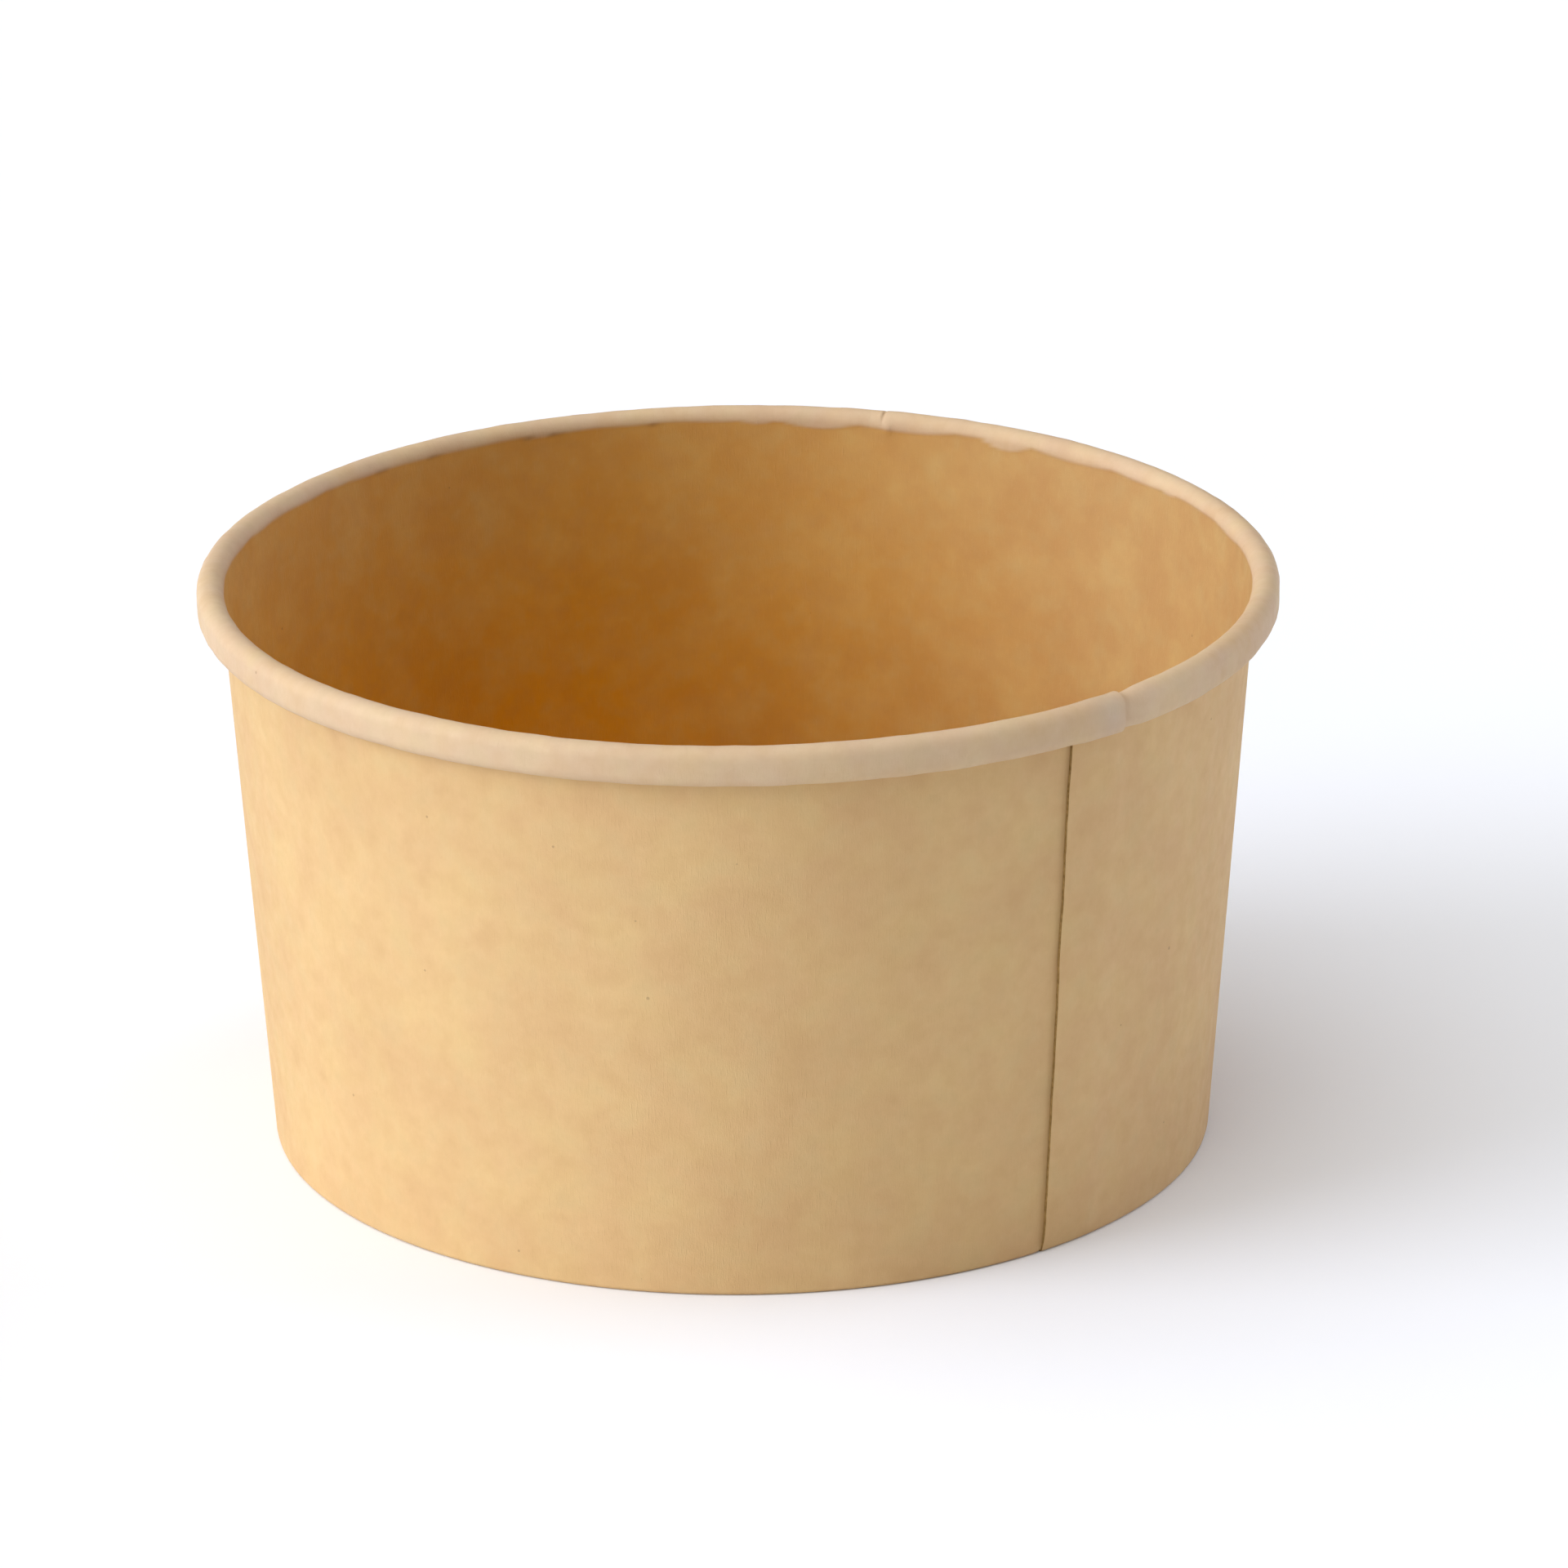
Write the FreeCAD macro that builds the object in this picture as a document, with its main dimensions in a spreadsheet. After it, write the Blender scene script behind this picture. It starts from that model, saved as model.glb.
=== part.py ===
import FreeCAD, Part
import math
import os
from collections import namedtuple

import Sketcher

# A round paper tub for ice cream: a tapered side wall with a rolled rim, and a sunk bottom.
#
# The side wall is one fan-shaped sheet of board. It is wrapped round, its two ends are lapped and
# glued in an upright seam, its top edge is rolled outwards into a hollow bead, and its bottom edge
# is folded inwards and up as a hem. The bottom is a disc of board whose edge is folded down into a
# skirt, and the skirt is clamped between the wall and the hem.
#
# The origin is the centre of the circle on which the tub stands, +Z is up and -Y is the front.

# Driving dimensions, in millimetres and degrees
SIZES = {
    # Tub
    "rim_diameter": 150.0,  # over the rolled bead
    "base_diameter": 132.0,  # outside of the wall, where its face meets the table
    "tub_height": 81.5,  # from the table to the top of the bead
    # Side wall
    "side_board": 0.45,  # thickness of its sheet
    "bead_width": 3.75,  # from the inner face of the wall to the outside of the bead
    "bead_height": 5.4,  # from the underside of the bead to its top
    "curl_clearance": 0.1,  # between the wall and the tucked end of the bead
    "hem_height": 6.0,  # top edge of the hem, above the table
    # Seam of the side wall
    "seam_angle": -51.6,  # place of the raw edge that shows, counted from +X
    "lap_width": 7.0,  # how far the two ends of the sheet overlap
    "lap_ramp": 2.4,  # over which the outer end falls back to the wall
    # Bottom disc
    "base_board": 0.4,  # thickness of its sheet
    "base_recess": 7.5,  # underside of the disc, above the table
    "skirt_radius": 0.9,  # outer radius of the fold between disc and skirt
    "skirt_clearance": 0.05,  # glue line on both faces of the skirt, and under its edge
}

doc = FreeCAD.newDocument("IceCreamTub")
sizes = doc.addObject("Spreadsheet::Sheet", "Sizes")
for row, (alias, number) in enumerate(SIZES.items(), start=1):
    sizes.set(f"A{row}", str(number))
    sizes.setAlias(f"A{row}", alias)
doc.recompute()

# Sizes that follow from the driving dimensions, as expressions
RIM_RADIUS = "Sizes.rim_diameter / 2"
BASE_RADIUS = "Sizes.base_diameter / 2"
BEAD_INSIDE = "Sizes.rim_diameter / 2 - Sizes.bead_width"
BEAD_UNDERSIDE = "Sizes.tub_height - Sizes.bead_height"
CROWN_RADIUS = "Sizes.bead_width / 2"
CROWN_CENTRE = "Sizes.tub_height - Sizes.bead_width / 2"
FLAP_TOP = "Sizes.tub_height - Sizes.bead_height + Sizes.bead_width / 2"
SEAM_FOOT = "1.25 * Sizes.side_board"
TUCK_DISTANCE = "Sizes.side_board + Sizes.curl_clearance"
SKIRT_SLOT = "Sizes.base_board + 2 * Sizes.skirt_clearance"
SKIRT_DISTANCE = "Sizes.side_board + Sizes.skirt_clearance"
DISC_TOP = "Sizes.base_recess + Sizes.base_board"
WALL_TILT = "(90deg - SheetSection.Constraints.wall_rise)"

# Origin planes of a body, and the numbers of a sketch's origin and of the points of a side
RADIAL_PLANE = "XZ_Plane"
LEVEL_PLANE = "XY_Plane"
ORIGIN = (-1, 1)
START, END, CENTRE = range(1, 4)

# One side of a path: its number in the sketch, and its points where the path enters and leaves it
Side = namedtuple("Side", "number entry leave")


def amount(expression):
    """Value of an expression as a plain number, for the first guess of a sketch."""
    result = sizes.evalExpression(expression)
    return float(getattr(result, "Value", result))


def point(x, y):
    return FreeCAD.Vector(x, y, 0)


def add_body(label):
    """Empty body for one piece of the tub."""
    body = doc.addObject("PartDesign::Body", label.title().replace("_", ""))
    body.Label = label
    return body


def draw_on(body, plane, name):
    """Empty sketch on one of the body's own origin planes."""
    sketch = body.newObject("Sketcher::SketchObject", name)
    support = next(item for item in body.Origin.OriginFeatures if item.Role == plane)
    sketch.AttachmentSupport = (support, "")
    sketch.MapMode = "FlatFace"
    return sketch


def draw_line(sketch, start, end, construction=False):
    number = sketch.addGeometry(Part.LineSegment(start, end), construction)
    return Side(number, START, END)


def draw_bend(sketch, centre, radius, first, last):
    """Arc between two directions, in radians. It bends left where the second one is larger."""
    circle = Part.Circle(centre, FreeCAD.Vector(0, 0, 1), radius)
    number = sketch.addGeometry(Part.ArcOfCircle(circle, min(first, last), max(first, last)), False)
    return Side(number, START, END) if last > first else Side(number, END, START)


def relate(sketch, kind, *elements):
    """Add a constraint that has no size."""
    sketch.addConstraint(Sketcher.Constraint(kind, *elements))


def join(sketch, kind, before, after):
    """Make one side of a path lead on to the next."""
    relate(sketch, kind, before.number, before.leave, after.number, after.entry)


def fix(sketch, name, kind, expression, *elements):
    """Add a constraint whose size has a name and follows an expression."""
    guess = amount(expression)
    if kind == "Angle":
        guess = math.radians(guess)
    index = sketch.addConstraint(Sketcher.Constraint(kind, *elements, guess))
    sketch.renameConstraint(index, name)
    sketch.setExpression(f"Constraints.{name}", expression)


def add_crease(sketch, face, side, aside, thickness):
    """Take the second face of the board round the crease where a line of the path starts."""
    crease = sketch.getPoint(side.number, START)
    came = sketch.getPoint(face.number, END) - crease
    first = math.atan2(came.y, came.x)
    last = math.atan2(aside.y, aside.x)
    if last < first:
        last += 2 * math.pi
    bend = draw_bend(sketch, crease, thickness, first, last)
    relate(sketch, "Coincident", bend.number, CENTRE, side.number, START)
    join(sketch, "Tangent", face, bend)
    return bend


def add_cap(sketch, near, near_end, far, far_end):
    """Cut the board off square between its two faces."""
    cap = draw_line(sketch, sketch.getPoint(near.number, near_end), sketch.getPoint(far.number, far_end))
    relate(sketch, "Coincident", cap.number, START, near.number, near_end)
    relate(sketch, "Coincident", cap.number, END, far.number, far_end)
    relate(sketch, "Perpendicular", cap.number, near.number)


def add_board(sketch, path, board):
    """Close a path into a section of board, whose second face lies on the right of the path.

    Its arcs bend to the right. Where two of its lines meet in a crease, the second face goes
    round the crease in an arc.
    """
    sketch.solve()
    thickness = amount(board)
    face = []
    after_line = False
    for side in path:
        shape = sketch.Geometry[side.number]
        is_line = isinstance(shape, Part.LineSegment)
        if is_line:
            along = (shape.EndPoint - shape.StartPoint).normalize()
            aside = point(along.y, -along.x) * thickness
            if after_line:
                face.append(add_crease(sketch, face[-1], side, aside, thickness))
            partner = draw_line(sketch, shape.StartPoint + aside, shape.EndPoint + aside)
            relate(sketch, "Parallel", partner.number, side.number)
        else:
            radius = shape.Radius - thickness
            partner = draw_bend(sketch, shape.Center, radius, shape.LastParameter, shape.FirstParameter)
            relate(sketch, "Coincident", partner.number, CENTRE, side.number, CENTRE)
        if face:
            join(sketch, "Tangent", face[-1], partner)
        face.append(partner)
        after_line = is_line
    fix(sketch, "board", "Distance", board, face[0].number, START, path[0].number)
    add_cap(sketch, path[0], path[0].entry, face[0], face[0].entry)
    add_cap(sketch, path[-1], path[-1].leave, face[-1], face[-1].leave)


def draw_sheet_section(body):
    """Section of the side sheet, from the edge of the hem over the rim to the tucked edge.

    Its path follows the face that is inside the tub on the wall and shows on the bead.
    """
    sketch = draw_on(body, RADIAL_PLANE, "SheetSection")

    # First guess, with an upright wall
    board = amount("Sizes.side_board")
    rim = amount(RIM_RADIUS)
    crown = amount(CROWN_RADIUS)
    crown_z = amount(CROWN_CENTRE)
    underside = amount(BEAD_UNDERSIDE)
    wall_top = amount(BEAD_INSIDE)
    foot = amount(BASE_RADIUS)
    wall_foot = foot - board
    hem_foot = wall_foot - amount(SKIRT_SLOT)
    roll = crown - amount(TUCK_DISTANCE) / 2
    roll_z = underside + roll
    tuck_x = rim - 2 * roll
    hem = draw_line(sketch, point(hem_foot, amount("Sizes.hem_height")), point(hem_foot, board))
    fold = draw_line(sketch, point(hem_foot, board), point(wall_foot, board))
    wall = draw_line(sketch, point(wall_foot, board), point(wall_top, crown_z))
    top = draw_bend(sketch, point(rim - crown, crown_z), crown, math.pi, 0)
    side = draw_line(sketch, point(rim, crown_z), point(rim, roll_z))
    under = draw_bend(sketch, point(rim - roll, roll_z), roll, 2 * math.pi, math.pi)
    tuck = draw_line(sketch, point(tuck_x, roll_z), point(tuck_x, crown_z))
    outside = draw_line(sketch, point(foot, 0), point(wall_top + board, underside), True)
    lowest = draw_line(sketch, point(wall_top, underside), point(rim, underside), True)

    join(sketch, "Coincident", hem, fold)
    join(sketch, "Coincident", fold, wall)
    for before, after in ((wall, top), (top, side), (side, under), (under, tuck)):
        join(sketch, "Tangent", before, after)
    for leaning in (hem, wall, tuck):
        relate(sketch, "Parallel", leaning.number, outside.number)
    for level in (fold, lowest):
        relate(sketch, "Horizontal", level.number)
    relate(sketch, "Vertical", side.number)
    relate(sketch, "Tangent", under.number, lowest.number)
    relate(sketch, "Horizontal", *ORIGIN, outside.number, START)
    relate(sketch, "Horizontal", tuck.number, END, top.number, CENTRE)

    fix(sketch, "base_radius", "DistanceX", BASE_RADIUS, *ORIGIN, outside.number, START)
    fix(sketch, "outside_top", "DistanceY", BEAD_UNDERSIDE, *ORIGIN, outside.number, END)
    fix(sketch, "wall_board", "Distance", "Sizes.side_board", wall.number, START, outside.number)
    fix(sketch, "fold_board", "DistanceY", "Sizes.side_board", *ORIGIN, fold.number, START)
    fix(sketch, "skirt_slot", "Distance", SKIRT_SLOT, hem.number, START, wall.number)
    fix(sketch, "hem_height", "DistanceY", "Sizes.hem_height", *ORIGIN, hem.number, START)
    fix(sketch, "rim_radius", "DistanceX", RIM_RADIUS, *ORIGIN, side.number, START)
    fix(sketch, "crown_centre", "DistanceY", CROWN_CENTRE, *ORIGIN, top.number, CENTRE)
    fix(sketch, "crown_radius", "Radius", CROWN_RADIUS, top.number)
    fix(sketch, "bead_underside", "DistanceY", BEAD_UNDERSIDE, *ORIGIN, lowest.number, START)
    fix(sketch, "lowest_start", "DistanceX", BEAD_INSIDE, *ORIGIN, lowest.number, START)
    fix(sketch, "lowest_end", "DistanceX", RIM_RADIUS, *ORIGIN, lowest.number, END)
    fix(sketch, "tuck_distance", "Distance", TUCK_DISTANCE, tuck.number, END, wall.number)

    # The wall's lean follows from the sizes above, and all that lies along the wall reads it here
    index = sketch.addConstraint(Sketcher.Constraint("Angle", outside.number, math.pi / 2))
    sketch.setDriving(index, False)
    sketch.renameConstraint(index, "wall_rise")

    add_board(sketch, (hem, fold, wall, top, side, under, tuck), "Sizes.side_board")
    doc.recompute()
    return sketch


def draw_disc_section(body):
    """Section of the bottom disc, from the tub's axis to the edge of the skirt."""
    sketch = draw_on(body, RADIAL_PLANE, "DiscSection")

    # First guess, with an upright skirt
    top = amount(DISC_TOP)
    radius = amount("Sizes.skirt_radius")
    foot = amount(BASE_RADIUS)
    edge = amount(SKIRT_DISTANCE)
    skirt_foot = foot - edge
    disc = draw_line(sketch, point(0, top), point(skirt_foot - radius, top))
    fold = draw_bend(sketch, point(skirt_foot - radius, top - radius), radius, math.pi / 2, 0)
    skirt = draw_line(sketch, point(skirt_foot, top - radius), point(skirt_foot, edge))
    outside = draw_line(sketch, point(foot, 0), point(foot, top), True)

    for before, after in ((disc, fold), (fold, skirt)):
        join(sketch, "Tangent", before, after)
    relate(sketch, "Horizontal", disc.number)
    relate(sketch, "Vertical", *ORIGIN, disc.number, START)
    relate(sketch, "Parallel", skirt.number, outside.number)
    relate(sketch, "Horizontal", *ORIGIN, outside.number, START)

    fix(sketch, "disc_top", "DistanceY", DISC_TOP, *ORIGIN, disc.number, START)
    fix(sketch, "skirt_radius", "Radius", "Sizes.skirt_radius", fold.number)
    fix(sketch, "skirt_edge", "DistanceY", SKIRT_DISTANCE, *ORIGIN, skirt.number, END)
    fix(sketch, "base_radius", "DistanceX", BASE_RADIUS, *ORIGIN, outside.number, START)
    fix(sketch, "outside_top", "DistanceY", DISC_TOP, *ORIGIN, outside.number, END)
    fix(sketch, "outside_lean", "Angle", f"90deg - {WALL_TILT}", outside.number)
    fix(sketch, "skirt_distance", "Distance", SKIRT_DISTANCE, skirt.number, END, outside.number)

    add_board(sketch, (disc, fold, skirt), "Sizes.base_board")
    return sketch


def turn_round_axis(body, section, name):
    """Take a section once round the tub's axis."""
    ring = body.newObject("PartDesign::Revolution", name)
    ring.Profile = section
    ring.ReferenceAxis = (section, ["V_Axis"])
    ring.Angle = 360
    return ring


def wall_outside(height):
    """Outer radius of the wall at a height above the table."""
    return f"({BASE_RADIUS} + ({height}) * tan({WALL_TILT}))"


def seam_turn(length, height):
    """Angle that a length along the wall takes up at a height, in degrees."""
    return f"({length}) / {wall_outside(height)} * 180 / pi"


def draw_seam_outline(body, name, height, corners):
    """Level outline at the seam, from corners given as a radius and an angle from the raw edge.

    A corner marked as curved has an arc round the tub's axis between it and the next corner, and
    the others have a straight line.
    """
    sketch = draw_on(body, LEVEL_PLANE, name)
    sketch.setExpression("AttachmentOffset.Base.z", height)
    spokes = []
    for index, (radius, angle, _) in enumerate(corners):
        turn = f"Sizes.seam_angle + {angle}"
        direction = math.radians(amount(turn))
        tip = point(math.cos(direction), math.sin(direction)) * amount(radius)
        spoke = draw_line(sketch, point(0, 0), tip, True)
        relate(sketch, "Coincident", spoke.number, START, *ORIGIN)
        fix(sketch, f"reach_{index}", "Distance", radius, spoke.number)
        fix(sketch, f"turn_{index}", "Angle", turn, spoke.number)
        spokes.append((spoke.number, tip, direction))
    for index, (radius, _, curved) in enumerate(corners):
        spoke, tip, direction = spokes[index]
        next_spoke, next_tip, next_direction = spokes[(index + 1) % len(corners)]
        if curved:
            side = draw_bend(sketch, point(0, 0), amount(radius), direction, next_direction)
            fix(sketch, f"bend_{index}", "Radius", radius, side.number)
        else:
            side = draw_line(sketch, tip, next_tip)
        relate(sketch, "Coincident", side.number, side.entry, spoke, END)
        relate(sketch, "Coincident", side.number, side.leave, next_spoke, END)
    return sketch


def draw_flap_outline(body, name, height):
    """Outer end of the sheet where it lies on the wall, and its fall back into the wall."""
    middle = f"{wall_outside(height)} - Sizes.side_board / 2"
    raised = f"{wall_outside(height)} + Sizes.side_board"
    covered = seam_turn("Sizes.lap_width", height)
    landed = seam_turn("Sizes.lap_width + Sizes.lap_ramp", height)
    corners = [(middle, "0", False), (raised, "0", True), (raised, covered, False), (middle, landed, True)]
    return draw_seam_outline(body, name, height, corners)


def draw_gap_outline(body, name, height):
    """Hollow on the inside, between the inner end of the sheet and the fall of the outer end."""
    inside = f"{wall_outside(height)} - Sizes.side_board"
    clear = f"{inside} - Sizes.side_board / 2"
    bottom = f"{inside} + Sizes.side_board"
    covered = seam_turn("Sizes.lap_width", height)
    landed = seam_turn("Sizes.lap_width + Sizes.lap_ramp", height)
    corners = [(clear, covered, False), (bottom, covered, False), (clear, landed, False)]
    return draw_seam_outline(body, name, height, corners)


def add_seam_length(body, kind, draw_outline, upper, name):
    """Straight length of the seam, from clear of the fold of the hem up to a height."""
    lower_outline = draw_outline(body, f"{name}Lower", SEAM_FOOT)
    upper_outline = draw_outline(body, f"{name}Upper", upper)
    length = body.newObject(kind, name)
    length.Profile = lower_outline
    length.Sections = [upper_outline]
    length.Ruled = True
    return length


def make_side_wall():
    """Rolled and hemmed sheet, with its outer end lapped over it and a gap at its inner end."""
    body = add_body("side_wall")
    turn_round_axis(body, draw_sheet_section(body), "RolledSheet")
    add_seam_length(body, "PartDesign::AdditiveLoft", draw_flap_outline, FLAP_TOP, "LapFlap")
    body.Tip = add_seam_length(
        body, "PartDesign::SubtractiveLoft", draw_gap_outline, BEAD_UNDERSIDE, "LapGap"
    )
    return body


def make_bottom_disc():
    """Disc with its skirt turned down into the slot between the wall and the hem."""
    body = add_body("bottom_disc")
    body.Tip = turn_round_axis(body, draw_disc_section(body), "DiscAndSkirt")
    return body


parts = [make_side_wall(), make_bottom_disc()]
doc.recompute()

for item in doc.Objects:
    if {"Invalid", "Error"} & set(item.State):
        raise RuntimeError(f"{item.Label} could not be built: {item.State}")
for part in parts:
    if part.Shape.isNull() or not part.Shape.isValid():
        raise RuntimeError(f"{part.Label} has no valid shape")

os.makedirs("parts", exist_ok=True)
for part in parts:
    part.Shape.exportStep(f"parts/{part.Label}.step")
    print(part.Label, "volume", round(part.Shape.Volume, 1), "solids", len(part.Shape.Solids))
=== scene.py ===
import math

import bpy
import numpy as np
from mathutils import Matrix, Vector


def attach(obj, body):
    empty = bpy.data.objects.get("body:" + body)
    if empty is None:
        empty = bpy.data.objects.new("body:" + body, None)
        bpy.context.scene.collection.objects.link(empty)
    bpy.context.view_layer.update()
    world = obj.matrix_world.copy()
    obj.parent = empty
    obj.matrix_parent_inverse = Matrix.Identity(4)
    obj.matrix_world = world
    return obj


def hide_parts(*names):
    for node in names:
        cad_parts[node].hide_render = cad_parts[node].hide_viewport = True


# A round tub of brown kraft board for ice cream, open at the top. One sheet is wrapped round with
# its two ends lapped, its top edge is rolled outwards into a bead and its bottom edge is hemmed
# round the skirt of the bottom disc.
#
# Lengths are in millimetres until a mesh is made, which turns them into metres. The height is
# counted from the table, and the turn round the tub's axis from +X.

MM = 0.001
FULL_TURN = 2 * math.pi

# Side sheet: its section follows the face that is inside the tub and shows on the bead
BOARD = 0.45
WALL_FOOT = (65.581, 0.45)
WALL_TOP = (71.255, 79.759)
HEM_EDGE = (65.477, 6.0)
HEM_FOOT = (65.080, 0.45)
FOLD_RADIUS = 0.12
CROWN = (73.125, 79.625, 1.875)  # centre's radius and height, and the arc's own radius
UNDER = (73.334, 77.766, 1.666)
TUCK_FOOT = (71.672, 77.885)
TUCK_EDGE = (71.797, 79.625)
LEAN = math.degrees(math.atan2(WALL_TOP[0] - WALL_FOOT[0], WALL_TOP[1] - WALL_FOOT[1]))
MIDDLE_RADIUS = 68.5  # of the wall, on which the pattern of the paper is laid out

# Lapped seam
SEAM_TURN = math.radians(-51.6)
LAP = 7.0
LAP_RAMP = 5.0
LAP_LIFT = 0.06  # air under the raw edge that shows

# Bottom disc
DISC_BOARD = 0.4
DISC_TOP = 7.9
SKIRT_FOLD = (64.622, 7.0, 0.9)
SKIRT_EDGE = (65.577, 0.5)

# Crack across the far side of the rim, and nicks in the border of its pressed skin
CRACK_TURN = math.radians(73.0)
NICK_TURNS = np.radians([100.2, 112.1, 115.5, 128.3, 136.3])

# Colours of the board, and the light levels of table and surroundings
OUTSIDE = (0.68, 0.452, 0.212)
INSIDE = (0.51, 0.318, 0.13)
# Inside deeper down and to the left: painted shade and warm bounce light, a saturated orange
INSIDE_PAINTED_SHADE = (0.76, 0.35, 0.008)
SKIN = (0.64, 0.475, 0.31)
PRESSED = (0.62, 0.50, 0.38)
# Torn places: torn board, and painted shade in the crack and the nicks
TORN_AND_SHADE = (0.22, 0.12, 0.05)
RAW_DARK, RAW_PALE = (0.24, 0.145, 0.045), (0.42, 0.27, 0.10)
CLOUD, PATCH = (0.36, 0.17, 0.07), (0.72, 0.55, 0.22)
DARK_BLOT, PALE_BLOT = (0.50, 0.27, 0.11), (0.52, 0.44, 0.22)
PULP, SPECK = (0.34, 0.18, 0.065), (0.16, 0.08, 0.03)
PALE_FIBRE, DARK_FIBRE = (0.88, 0.70, 0.45), (0.27, 0.14, 0.05)
TABLE = (0.86, 0.875, 0.895, 1)
FLOOR_GLOW = 0.045
WORLD_LIGHT = 0.06

# Camera: height over the horizon and roll in degrees, distance and the point it looks at in metres
CAMERA_RISE, CAMERA_ROLL, CAMERA_DISTANCE = 20.19, -0.384, 1.2639
CAMERA_TARGET = (0.006198, 0, 0.049366)
CAMERA_LENS = 207.2


def along(*runs):
    """Path through runs of points, as radius and height, with the doubled points left out."""
    points = np.concatenate(runs)
    keep = np.append(True, np.linalg.norm(np.diff(points, axis=0), axis=1) > 1e-6)
    return points[keep]


def straight(start, end, count=2):
    """Points at even steps on the straight line from start to end."""
    share = np.linspace(0, 1, count)[:, None]
    return (1 - share) * np.array(start) + share * np.array(end)


def bend(circle, first, last, count=60):
    """Points on a circle (centre's radius and height, own radius) between two angles in degrees."""
    angle = np.radians(np.linspace(first, last, count))
    return np.stack([circle[0] + circle[2] * np.cos(angle), circle[1] + circle[2] * np.sin(angle)], 1)


def round_corner(before, corner, after, radius, count=12):
    """Quarter or so of a circle that rounds the corner between two lines and is tangent to both.

    It starts and ends at radius times the tangent of half the turn from the corner.
    """
    before, corner, after = map(np.array, (before, corner, after))
    came = (corner - before) / np.linalg.norm(corner - before)
    goes = (after - corner) / np.linalg.norm(after - corner)
    cross = came[0] * goes[1] - came[1] * goes[0]
    turn = math.atan2(cross, came @ goes)
    start = corner - came * radius * math.tan(abs(turn) / 2)
    side = np.array([-came[1], came[0]]) * math.copysign(1, turn)
    centre = start + side * radius
    first = math.degrees(math.atan2(*(start - centre)[::-1]))
    return bend((*centre, radius), first, first + math.degrees(turn), count)


def smooth(value, low, high):
    """0 below low, 1 above high, and 3 q^2 - 2 q^3 of the share q of the way between them."""
    share = np.clip((value - low) / (high - low), 0, 1)
    return share * share * (3 - 2 * share)


def hump(value, centre, width):
    """Bell curve: e to the minus square of the distance from centre in widths."""
    return np.exp(-(((value - centre) / width) ** 2))


def waves(turn, height, seed, count, rounds, length):
    """Smooth random relief that closes round the axis, about -1 to 1.

    It is the sum of count cosines of k times the turn plus m times the height plus a phase. Each k
    is a whole number up to rounds, each m is up to a full turn per length.
    """
    rng = np.random.default_rng(seed)
    relief = np.zeros(np.broadcast(turn, height).shape)
    for _ in range(count):
        across = rng.integers(1, rounds + 1)
        upward = rng.uniform(-1, 1) * FULL_TURN / length
        relief += np.cos(across * turn + upward * height + rng.uniform(0, FULL_TURN))
    return relief / math.sqrt(2 * count)


def scallops(turn, seed, shortest, longest):
    """Chain of shallow arcs round the rim: 4 q (1 - q) of the share q along each, times its depth."""
    rng = np.random.default_rng(seed)
    cusps = np.cumsum(rng.uniform(shortest, longest, int(FULL_TURN / shortest)))
    cusps = np.append(0, cusps[cusps < FULL_TURN - shortest])
    ends = np.append(cusps, FULL_TURN)
    depths = rng.uniform(0.05, 1, len(cusps)) ** 1.5
    place = np.mod(turn, FULL_TURN)
    index = np.clip(np.searchsorted(ends, place, side="right") - 1, 0, len(cusps) - 1)
    share = (place - ends[index]) / (ends[index + 1] - ends[index])
    return 4 * share * (1 - share) * depths[index]


def lengths_along(path):
    """Distance of each point of a path from its start."""
    return np.append(0, np.cumsum(np.linalg.norm(np.diff(path, axis=0), axis=1)))


def face_line(path, steps, rows):
    """Points at given distances along a path, and the unit normals to the right of its run."""
    place, ahead, behind = (
        np.stack([np.interp(rows + offset, steps, path[:, i]) for i in (0, 1)], 1)
        for offset in (0, 0.02, -0.02)
    )
    run = (ahead - behind) / np.linalg.norm(ahead - behind, axis=1)[:, None]
    return place, np.stack([run[:, 1], -run[:, 0]], 1)


def sheet_path():
    """Section of the side sheet, from the hem's edge over the rim to the tucked edge."""
    hem_side = HEM_EDGE, HEM_FOOT, WALL_FOOT
    wall_side = HEM_FOOT, WALL_FOOT, WALL_TOP
    return along(
        straight(HEM_EDGE, HEM_FOOT, 3)[:2],
        round_corner(*hem_side, FOLD_RADIUS),
        round_corner(*wall_side, FOLD_RADIUS),
        bend(CROWN, 180 - LEAN, 0),
        bend(UNDER, 0, -180 - LEAN),
        straight(TUCK_FOOT, TUCK_EDGE),
    )


def sheet_stations(path):
    """Distances along the section at which the mesh has rows, closest on folds and at the rim."""
    steps = lengths_along(path)
    fold = steps[np.argmin(path[:, 1])]
    crown = steps[np.argmin(np.hypot(*(path - WALL_TOP).T))]
    rows = np.concatenate([
        np.linspace(0, fold - 0.5, 6),
        np.linspace(fold - 0.35, fold + 0.9, 13),
        np.linspace(fold + 1.6, crown - 3.2, 48),
        np.linspace(crown - 2.6, crown, 11),
        np.linspace(crown + 0.25, crown + 5.75, 20),
        np.linspace(crown + 6.4, crown + 7.6, 3),
        np.linspace(crown + 7.9, crown + 12.6, 12),
        np.linspace(crown + 13.2, steps[-1], 3),
    ])
    return rows, steps, crown


def grid_faces(rows, columns, first=0, flip=False, closed=False):
    """Quads of a grid of points that are numbered row by row from first on.

    A closed grid also has the quads from its last column back to its first.
    """
    row = np.arange(rows - 1)[:, None]
    column = np.arange(columns if closed else columns - 1)[None, :]
    after = (column + 1) % columns
    quads = np.stack(
        np.broadcast_arrays(
            row * columns + column, row * columns + after, (row + 1) * columns + after,
            (row + 1) * columns + column,
        ),
        -1,
    ).reshape(-1, 4) + first
    return quads[:, ::-1] if flip else quads


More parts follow.
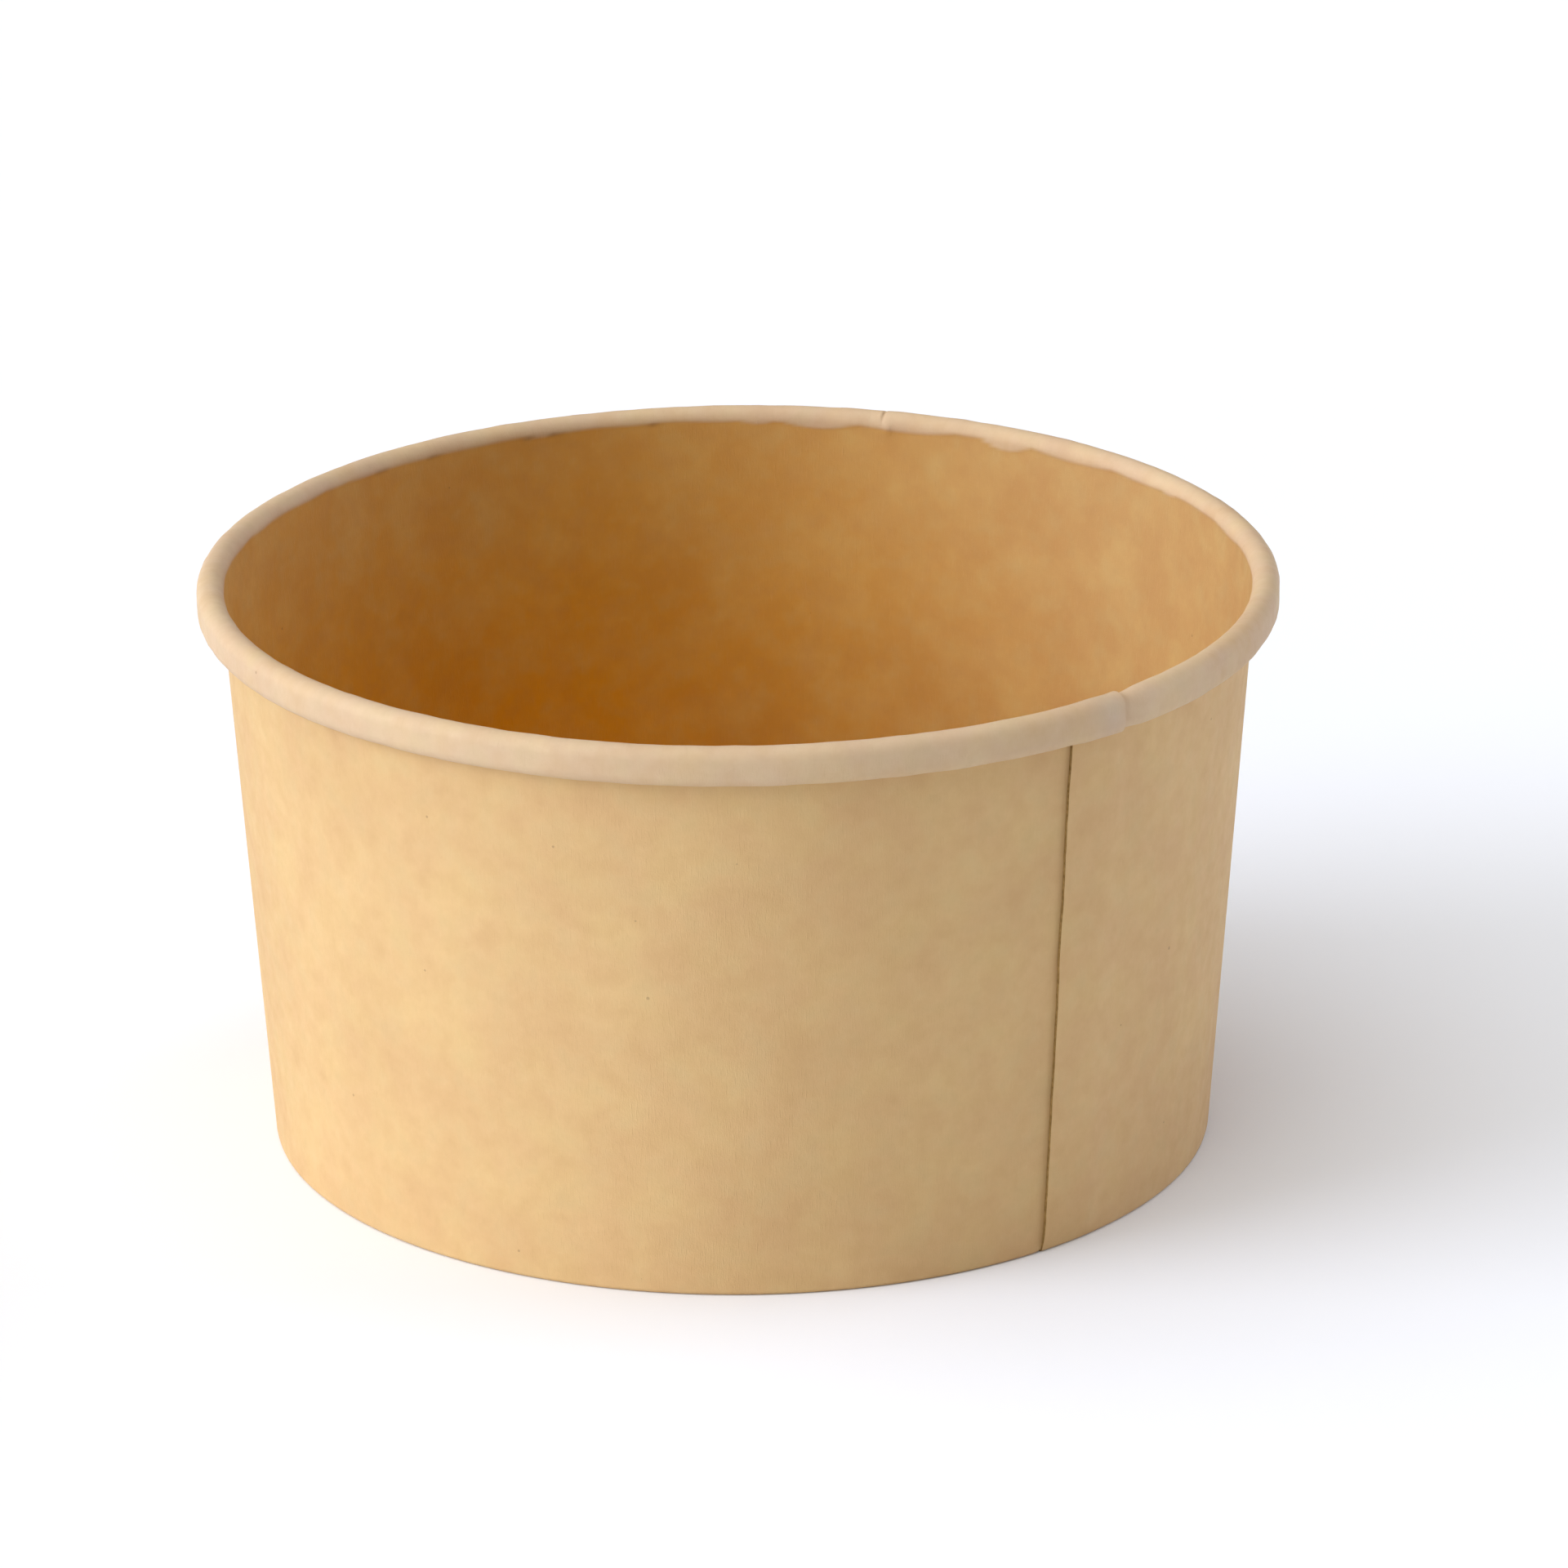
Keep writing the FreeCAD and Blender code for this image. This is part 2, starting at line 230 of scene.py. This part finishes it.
def make_piece(name, points, faces, materials, finishes, marks, uv):
    """Mesh object in metres from arrays: points, quads, one material number per face, marks (one
    value per point, by name) and one pair of lengths per point for the UV map."""
    mesh = bpy.data.meshes.new(name)
    mesh.from_pydata((points * MM).tolist(), [], faces)
    for material in materials:
        mesh.materials.append(material)
    mesh.polygons.foreach_set("material_index", finishes)
    mesh.polygons.foreach_set("use_smooth", np.ones(len(faces), bool))
    for mark, values in marks.items():
        layer = mesh.attributes.new(mark, "FLOAT", "POINT")
        layer.data.foreach_set("value", values.astype(np.float32))
    corners = np.empty(len(mesh.loops), np.int32)
    mesh.loops.foreach_get("vertex_index", corners)
    layer = mesh.uv_layers.new(name="paper")
    layer.data.foreach_set("uv", (uv[corners] * MM).astype(np.float32).ravel())
    mesh.set_sharp_from_angle(angle=math.radians(50))
    mesh.update()
    piece = bpy.data.objects.new(name, mesh)
    bpy.context.scene.collection.objects.link(piece)
    return piece


def sheet_columns():
    """Places of the columns round the tub: a share of the full turn, and a length added to it.

    The lengths count from the raw edge outside. The first stretch is the outer end of the sheet and
    its ramp, the last one is the inner end under it. The columns lie closer round the crack, whose
    share allows for the length that is still to come there.
    """
    over = np.array([
        0, 0.12, 0.35, 0.7, 1.3, 2.1, 3, 4, 5, 5.9, 6.5, 6.8, 7, 7.4, 8, 8.8, 9.6, 10.4, 11.2, 12,
    ])
    lapped = over[-1] / CROWN[0]
    crack = (CRACK_TURN - SEAM_TURN - lapped) / (FULL_TURN - lapped)
    shares = np.linspace(0, 1, 346)[1:-1]
    near_crack = crack + np.linspace(-2.2, 2.2, 23) / (FULL_TURN * CROWN[0])
    shares = shares[np.abs(shares - crack) > 2.6 / (FULL_TURN * CROWN[0])]
    shares = np.sort(np.concatenate([shares, near_crack]))
    under = over[over <= LAP]
    turns = np.concatenate([0 * over, shares, 0 * under + 1])
    lengths = np.concatenate([over, over[-1] * (1 - shares), under])
    return turns, lengths


def make_side_wall(materials):
    """Wrapped sheet as one closed strip with both faces, four edges and the roll and hem.

    A point is the section's point at a distance along it, moved along the section's normal by the
    face's depth in the board, and turned round the axis. The outer end of the sheet lies one board
    deeper than the inner end that it covers, and falls back to it over a short ramp. In the fold and
    the hem the two ends share one board's thickness, because they are pressed flat there.
    """
    path = sheet_path()
    rows, steps, crown = sheet_stations(path)
    section, normal = face_line(path, steps, rows)

    shares, lengths = sheet_columns()
    radius = np.interp(rows, steps, path[:, 0])[:, None]
    height = section[:, 1][:, None]
    from_crown = (rows - crown)[:, None]
    on_hem = 1 - smooth(rows, 5.4, 8.5)[:, None]

    # The raw edges waver a little, as a cut does that was wiped with glue
    wall_radius = np.clip(radius, 66, 75)
    waver = 0.09 * waves(0, rows, 11, 12, 1, 16)[:, None] + 0.05 * waves(0, rows, 12, 12, 1, 4)[:, None]
    near_start = (shares == 0) * hump(lengths, 0, 1.5)
    near_end = (shares == 1) * hump(lengths, LAP, 1.5)
    turn = SEAM_TURN + FULL_TURN * shares + (lengths + waver * (near_start - near_end)) / wall_radius

    # Lap: 1 where the two ends lie on each other
    outer = (shares == 0) * (1 - smooth(lengths, LAP, LAP + LAP_RAMP))
    inner = 1.0 * (shares == 1)
    lap = outer + inner
    lift = LAP_LIFT * (0.75 + 0.25 * waves(0, rows, 13, 8, 1, 20)[:, None])
    lift = lift * hump(lengths, 0, 2.2) + 0.02
    thickness = BOARD * (1 - 0.5 * on_hem * lap)
    shift = outer * ((1 - on_hem) * (BOARD + lift) + on_hem * 0.5 * BOARD)

    # The end of the roll clears the doubled wall
    tucked = smooth(from_crown, 8.0, 11.5)
    nudge = lap * tucked * (BOARD + 0.05)

    # Relief of the board, along its normal and towards its far face
    scallop = scallops(turn, 21, math.radians(2.0), math.radians(13))
    rightward = smooth(np.cos(turn), -0.5, 0.3)
    border = from_crown + 0.1 + (0.3 + 0.8 * rightward) * scallop + 0.15 * waves(turn, 0, 22, 16, 40, 1)
    far_side = (0.45 + 0.55 * smooth(np.sin(turn), -0.6, 0.5)) * (0.35 + 0.65 * rightward)
    lip = smooth(border, 0, 0.4) * np.exp(-np.clip(border, 0, None) / 2.2)
    crack = hump((turn - CRACK_TURN) * CROWN[0], 0, 0.2) * hump(from_crown, 2.2, 1.2)
    crack_fold = hump((turn - CRACK_TURN) * CROWN[0] + 0.9, 0, 0.8) * hump(from_crown, -0.2, 1.0)
    on_roll = smooth(from_crown, -1.2, 0.8) * (1 - smooth(from_crown, 12.2, 13.5))
    on_wall = smooth(rows, 8, 24)[:, None] * (1 - smooth(from_crown, -12, -3))
    pressed = (shares == 1) * hump(lengths, 4.6, 2.4) * hump(from_crown, 6.2, 3.4)
    nicks = hump((turn[..., None] - NICK_TURNS) * CROWN[0], 0, 0.9).sum(-1)
    # Torn mark: torn board, darkened also as painted shade in the crack and the nicks
    torn_and_shade = np.clip(0.45 * crack + 0.7 * nicks * hump(from_crown, -0.1, 0.35), 0, 1)
    relief = (
        0.03 * on_wall * waves(turn, height, 31, 30, 14, 45)
        + 0.035 * on_roll * waves(turn, from_crown, 32, 40, 90, 9)
        + 0.02 * on_roll * waves(turn, from_crown, 33, 40, 160, 4)
        - 0.13 * far_side * lip
        + 0.24 * crack
        - 0.16 * crack_fold
        - 0.05 * smooth(lengths, -3, 2) * inner * on_roll
        - 0.05 * outer * on_roll
    )

    sides = []
    for depth in (0.0, 1.0):
        away = relief + shift + depth * thickness
        out = section[:, :1] + normal[:, :1] * away + nudge
        up = section[:, 1:] + normal[:, 1:] * away
        share_up = np.clip(up / WALL_TOP[1], 0, 1)
        out = out + share_up * (0.12 * np.cos(2 * turn - 0.7) + 0.07 * np.cos(3 * turn + 1.1))
        out = out + on_roll * 0.05 * waves(turn, 0, 41, 12, 11, 1)
        up = np.maximum(up + share_up * on_roll * 0.06 * waves(turn, 0, 42, 12, 7, 1), 0)
        sides.append(np.stack([out * np.cos(turn), out * np.sin(turn), up], -1))
    points = np.stack(sides).reshape(-1, 3)

    count, columns = turn.shape
    face = count * columns
    inside = grid_faces(count, columns, 0, flip=True)
    outside = grid_faces(count, columns, face)
    point = np.arange(face).reshape(count, columns)
    edges = (point[0], False), (point[-1], True), (point[:, 0], True), (point[:, -1], False)
    cuts = []
    for near, flip in edges:
        quad = np.stack([near[:-1], near[1:], near[1:] + face, near[:-1] + face], 1)
        cuts.append(quad[:, ::-1] if flip else quad)
    faces = np.concatenate([inside, outside, *cuts])
    finishes = np.repeat([0, 1], [len(inside) + len(outside), sum(map(len, cuts))])

    # Marks belong to the face that is inside the tub and shows on the bead
    ones = np.ones_like(turn)
    marks = {"skin": smooth(border, -0.1, 0.4), "inner": ones, "pressed": pressed, "torn_and_shade": torn_and_shade}
    marks = {mark: np.stack([values * ones, 0 * ones]).ravel() for mark, values in marks.items()}
    flat = np.stack([(turn - SEAM_TURN) * MIDDLE_RADIUS, rows[:, None] * ones], -1)
    uv = np.stack([flat, flat + [500, 0]]).reshape(-1, 2)
    return make_piece("wrapped_side_wall", points, faces, materials, finishes, marks, uv)


def disc_path():
    """Section of the bottom disc's upper and outer face, from the axis to the skirt's edge."""
    return along(
        straight((0, DISC_TOP), (SKIRT_FOLD[0], DISC_TOP)),
        bend(SKIRT_FOLD, 90, -LEAN),
        np.array([SKIRT_EDGE]),
    )


def make_bottom_disc(materials):
    """Disc and skirt: the section turned round the axis, with a face at each depth of the board.

    The disc sinks by a shallow bowl of (1 - share squared) and has small puckers round its fold,
    where the flat board was drawn into the skirt.
    """
    path = disc_path()
    steps = lengths_along(path)
    fold = SKIRT_FOLD[0]
    rows = np.concatenate([
        np.linspace(0.4, 58, 26), np.linspace(59, fold, 8), np.linspace(fold + 0.15, fold + 1.45, 9),
        np.linspace(fold + 2.1, steps[-1], 7),
    ])
    section, normal = face_line(path, steps, rows)

    turn = np.linspace(0, FULL_TURN, 360, endpoint=False)
    across = rows[:, None]
    bowl = 0.35 * (1 - np.clip(across / 60, 0, 1) ** 2)
    pucker = 0.06 * hump(across, fold - 0.4, 1.6) * np.abs(np.sin(60 * turn + waves(turn, 0, 51, 8, 9, 1)))
    swell = 0.05 * smooth(across, 2, 20) * (1 - smooth(across, 56, 63)) * waves(turn, across, 52, 24, 5, 40)
    sides = []
    for depth in (0.0, DISC_BOARD):
        away = depth + pucker * 0.6
        out = section[:, :1] + normal[:, :1] * away
        up = section[:, 1:] + normal[:, 1:] * away - bowl + swell
        out, up = np.broadcast_arrays(out, up)
        sides.append(np.stack([out * np.cos(turn), out * np.sin(turn), up], -1))
    count, columns = up.shape
    face = count * columns
    middle = [[0, 0, DISC_TOP - bowl[0, 0]], [0, 0, DISC_TOP - DISC_BOARD - bowl[0, 0]]]
    points = np.concatenate([np.stack(sides).reshape(-1, 3), middle])
    ring = np.arange(columns)
    after = (ring + 1) % columns
    hub = 2 * face
    last = (count - 1) * columns
    edge = np.stack([last + ring, last + face + ring, last + face + after, last + after], 1)
    quads = np.concatenate([
        grid_faces(count, columns, 0, flip=True, closed=True),
        grid_faces(count, columns, face, closed=True),
        edge,
    ])
    fans = [
        np.stack([ring, after, 0 * ring + hub], 1),
        np.stack([after + face, ring + face, 0 * ring + hub + 1], 1),
    ]
    faces = quads.tolist() + np.concatenate(fans).tolist()
    finishes = np.zeros(len(faces), int)
    finishes[len(quads) - len(edge):len(quads)] = 1
    inner = np.concatenate([np.ones(face), np.zeros(face), [1, 0]])
    marks = {"skin": 0 * inner, "inner": inner, "pressed": 0 * inner, "torn_and_shade": 0 * inner}
    uv = points[:, :2] + np.where(inner[:, None] > 0, 0, 200)
    return make_piece("pressed_bottom_disc", points, faces, materials, finishes, marks, uv)


def node(tree, kind, values=None, **settings):
    """New shader node. A value that is another node's socket is linked, any other is set."""
    made = tree.nodes.new(kind)
    for key, value in settings.items():
        setattr(made, key, value)
    for key, value in (values or {}).items():
        if isinstance(value, bpy.types.NodeSocket):
            tree.links.new(value, made.inputs[key])
        else:
            made.inputs[key].default_value = value
    return made


def new_material(name):
    """Empty material and its node tree."""
    material = bpy.data.materials.new(name)
    material.use_nodes = True
    material.node_tree.nodes.clear()
    return material, material.node_tree


def mix(tree, share, first, second):
    """Colour at a share of the way from the first to the second."""
    made = node(tree, "ShaderNodeMix", data_type="RGBA")
    for socket, value in ((0, share), (6, first), (7, second)):
        if isinstance(value, bpy.types.NodeSocket):
            tree.links.new(value, made.inputs[socket])
        elif socket == 0:
            made.inputs[socket].default_value = value
        else:
            made.inputs[socket].default_value = (*value, 1)
    return made.outputs[2]


def number(tree, operation, *values):
    """Result of one sum on numbers."""
    made = node(tree, "ShaderNodeMath", dict(enumerate(values)), operation=operation)
    return made.outputs[0]


def spread(tree, value, low, high, to_low=0.0, to_high=1.0):
    """Value moved from the range low to high onto another range, and held inside it."""
    made = node(tree, "ShaderNodeMapRange", {0: value, 1: low, 2: high, 3: to_low, 4: to_high})
    return made.outputs[0]


def noise(tree, place, scale, detail=2.0, roughness=0.5):
    """Soft random pattern of 0 to 1 in space."""
    values = {"Vector": place, "Scale": scale, "Detail": detail, "Roughness": roughness}
    return node(tree, "ShaderNodeTexNoise", values).outputs[0]


def mark(tree, name):
    """Value of one of the mesh's marks."""
    return node(tree, "ShaderNodeAttribute", attribute_name=name).outputs["Fac"]


def strands(tree, paper, turn, width, length):
    """Thin streaks: the highest parts of a noise that is drawn out along one direction of the sheet."""
    placed = node(
        tree, "ShaderNodeMapping",
        {"Vector": paper, "Rotation": (0, 0, math.radians(turn)), "Scale": (1 / width, 1 / length, 1)},
    )
    return spread(tree, noise(tree, placed.outputs[0], 1.0, 2.0, 0.55), 0.58, 0.78)


def kraft_board(name, raw):
    """Brown board: clouds of pulp, fibres both ways, specks, and a fine tooth in the bump.

    The marks of the mesh choose the colour: inside or outside, the pressed skin on the bead, the
    lap pressed on the bead, and torn places, which are darkened also as painted shade in the crack
    and nicks. The inside is painted a warmer, more saturated orange deeper down and to the left, as
    painted shade and bounce light. A raw board is a cut edge: darker and more fibrous.
    """
    material, tree = new_material(name)
    place = node(tree, "ShaderNodeTexCoord").outputs["Object"]
    paper = node(tree, "ShaderNodeUVMap", uv_map="paper").outputs[0]

    clouds = noise(tree, place, 48.0, 3.0, 0.5)
    patches = noise(tree, place, 120.0, 3.0, 0.5)
    blots = noise(tree, place, 230.0, 2.0, 0.5)
    pulp = noise(tree, place, 420.0, 4.0, 0.65)
    tooth = noise(tree, place, 4200.0, 2.0, 0.6)
    pale = [strands(tree, paper, 12, 0.0003, 0.0026), strands(tree, paper, -38, 0.00025, 0.002)]
    dark = [strands(tree, paper, 70, 0.0003, 0.0022), strands(tree, paper, -8, 0.00028, 0.003)]
    pale, dark = number(tree, "ADD", *pale), number(tree, "ADD", *dark)
    speck_cells = node(tree, "ShaderNodeTexVoronoi", {"Vector": place, "Scale": 170.0, "Randomness": 1.0})
    chance = node(tree, "ShaderNodeSeparateColor", {0: speck_cells.outputs["Color"]}).outputs[0]
    speck_size = spread(tree, chance, 0.3, 1.0, 0.0, 0.042)
    specks = number(tree, "LESS_THAN", speck_cells.outputs["Distance"], speck_size)

    high = node(tree, "ShaderNodeSeparateXYZ", {0: place})
    # Painted shade and bounce light: the inside turns a saturated orange deeper down and to the left
    depth = spread(tree, high.outputs["Z"], 0.078, 0.042, 0.5, 1.0)
    leftward = spread(tree, high.outputs["X"], 0.055, -0.02, 0.1, 1.0)
    painted_shade_share = number(tree, "MULTIPLY", depth, leftward)
    base = mix(tree, mark(tree, "inner"), OUTSIDE, mix(tree, painted_shade_share, INSIDE, INSIDE_PAINTED_SHADE))
    base = mix(tree, mark(tree, "skin"), base, SKIN)
    base = mix(tree, number(tree, "MULTIPLY", mark(tree, "pressed"), 0.75), base, PRESSED)
    # Torn board's colour, with painted shade in the crack and nicks
    base = mix(tree, number(tree, "MULTIPLY", mark(tree, "torn_and_shade"), 0.8), base, TORN_AND_SHADE)
    base = mix(tree, spread(tree, clouds, 0.3, 0.7, 0.0, 0.18), base, CLOUD)
    base = mix(tree, spread(tree, patches, 0.4, 0.7, 0.0, 0.2), base, PATCH)
    base = mix(tree, spread(tree, blots, 0.45, 0.7, 0.0, 0.16), base, DARK_BLOT)
    base = mix(tree, spread(tree, blots, 0.5, 0.3, 0.0, 0.12), base, PALE_BLOT)
    base = mix(tree, spread(tree, pulp, 0.35, 0.65, 0.0, 0.08), base, PULP)
    base = mix(tree, spread(tree, pale, 0.0, 1.0, 0.0, 0.035), base, PALE_FIBRE)
    base = mix(tree, spread(tree, dark, 0.0, 1.0, 0.0, 0.035), base, DARK_FIBRE)
    base = mix(tree, number(tree, "MULTIPLY", specks, 0.35), base, SPECK)
    if raw:
        fuzz = spread(tree, noise(tree, place, 1500.0, 3.0), 0.3, 0.7)
        base = mix(tree, fuzz, RAW_DARK, RAW_PALE)

    rough = spread(tree, pulp, 0.3, 0.7, 0.62, 0.78)
    rough = number(tree, "SUBTRACT", rough, number(tree, "MULTIPLY", mark(tree, "inner"), 0.14))
    gloss = spread(tree, mark(tree, "inner"), 0.0, 1.0, 0.35, 0.15)
    height = number(tree, "ADD", number(tree, "MULTIPLY", tooth, 0.6), number(tree, "MULTIPLY", pulp, 0.9))
    height = number(tree, "ADD", height, number(tree, "MULTIPLY", number(tree, "ADD", pale, dark), 0.35))
    bump = node(tree, "ShaderNodeBump", {"Strength": 0.8, "Distance": 0.00004, "Height": height})
    shader = node(
        tree, "ShaderNodeBsdfPrincipled",
        {"Base Color": base, "Roughness": rough, "Normal": bump.outputs[0], "Specular IOR Level": gloss},
    )
    node(tree, "ShaderNodeOutputMaterial", {"Surface": shader.outputs[0]})
    return material


def make_floor():
    """Wide pale table. It glows a little for the camera and in reflections, but lights nothing."""
    half = 40000
    points = np.array([[-half, -half, 0], [half, -half, 0], [half, half, 0], [-half, half, 0]], float)
    mesh = bpy.data.meshes.new("pale_table")
    mesh.from_pydata((points * MM).tolist(), [], [[0, 1, 2, 3]])
    material, tree = new_material("pale table")
    matte = node(tree, "ShaderNodeBsdfDiffuse", {"Color": TABLE})
    rays = node(tree, "ShaderNodeLightPath")
    seen = number(tree, "MAXIMUM", rays.outputs["Is Camera Ray"], rays.outputs["Is Glossy Ray"])
    seen = number(tree, "MAXIMUM", seen, rays.outputs["Is Transmission Ray"])
    level = number(tree, "MULTIPLY", seen, FLOOR_GLOW)
    glow = node(tree, "ShaderNodeEmission", {"Color": (1, 1, 1, 1), "Strength": level})
    both = node(tree, "ShaderNodeAddShader", {0: matte.outputs[0], 1: glow.outputs[0]})
    node(tree, "ShaderNodeOutputMaterial", {"Surface": both.outputs[0]})
    mesh.materials.append(material)
    floor = bpy.data.objects.new("pale_table", mesh)
    bpy.context.scene.collection.objects.link(floor)


def make_world():
    """White for the camera and through clear things, and an even soft light for all else."""
    world = bpy.data.worlds.new("studio")
    world.use_nodes = True
    tree = world.node_tree
    tree.nodes.clear()
    rays = node(tree, "ShaderNodeLightPath")
    seen = number(tree, "MAXIMUM", rays.outputs["Is Camera Ray"], rays.outputs["Is Transmission Ray"])
    light = node(tree, "ShaderNodeBackground", {"Color": (1, 1, 1, 1), "Strength": WORLD_LIGHT})
    white = node(tree, "ShaderNodeBackground", {"Color": (1, 1, 1, 1), "Strength": 1.0})
    shown = node(tree, "ShaderNodeMixShader", {0: seen, 1: light.outputs[0], 2: white.outputs[0]})
    node(tree, "ShaderNodeOutputWorld", {"Surface": shown.outputs[0]})
    bpy.context.scene.world = world


def make_sun(name, turn, elevation, strength, spread_degrees, colour):
    """Lamp without a place that shines from a turn round the tub and an elevation."""
    lamp = bpy.data.lights.new(name, "SUN")
    lamp.energy = strength
    lamp.angle = math.radians(spread_degrees)
    lamp.color = colour
    sun = bpy.data.objects.new(name, lamp)
    turn, elevation = math.radians(turn), math.radians(elevation)
    level = math.cos(elevation)
    back = Vector((level * math.cos(turn), level * math.sin(turn), math.sin(elevation)))
    sun.rotation_mode = "QUATERNION"
    sun.rotation_quaternion = back.to_track_quat("Z", "Y")
    bpy.context.scene.collection.objects.link(sun)


def make_camera():
    """Long lens from the front and a little above, with the horizon turned by 0.4 of a degree."""
    elevation, roll = math.radians(CAMERA_RISE), math.radians(CAMERA_ROLL)
    back = Vector((0, -math.cos(elevation), math.sin(elevation)))
    right = Vector((1, 0, 0))
    up = back.cross(right)
    across = right * math.cos(roll) + up * math.sin(roll)
    upward = up * math.cos(roll) - right * math.sin(roll)
    camera = bpy.data.cameras.new("front_view")
    camera.lens = CAMERA_LENS
    camera.sensor_width = 36
    camera.clip_start, camera.clip_end = 0.05, 200
    view = bpy.data.objects.new("front_view", camera)
    axes = Matrix((across, upward, back)).transposed().to_4x4()
    view.matrix_world = Matrix.Translation(Vector(CAMERA_TARGET) + back * CAMERA_DISTANCE) @ axes
    bpy.context.scene.collection.objects.link(view)
    bpy.context.scene.camera = view


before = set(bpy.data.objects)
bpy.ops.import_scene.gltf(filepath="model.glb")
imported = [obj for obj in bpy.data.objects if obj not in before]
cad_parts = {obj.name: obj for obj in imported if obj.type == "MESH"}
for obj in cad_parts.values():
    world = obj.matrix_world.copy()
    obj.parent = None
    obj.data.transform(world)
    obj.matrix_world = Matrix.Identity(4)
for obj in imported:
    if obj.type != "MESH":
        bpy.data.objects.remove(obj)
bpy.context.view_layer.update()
bpy.context.scene.view_settings.view_transform = "Standard"

side_board = kraft_board("side board", raw=False)
side_cut = kraft_board("cut edge of side board", raw=True)
base_board = kraft_board("base board", raw=False)
base_cut = kraft_board("cut edge of base board", raw=True)

side_wall = make_side_wall([side_board, side_cut])
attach(side_wall, "root")
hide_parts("side_wall")

bottom_disc = make_bottom_disc([base_board, base_cut])
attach(bottom_disc, "root")
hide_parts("bottom_disc")

make_floor()
make_world()
make_sun("left_window", -162, 20, 1.9, 38, (0.97, 1, 1.16))
make_sun("front_reflector", -115, 12, 0.5, 50, (1, 0.94, 0.7))
make_sun("right_reflector", 18, 16, 1.4, 50, (1, 1.02, 1.2))
make_sun("overhead_panel", -168, 63, 2.45, 90, (1, 1, 1))
make_camera()
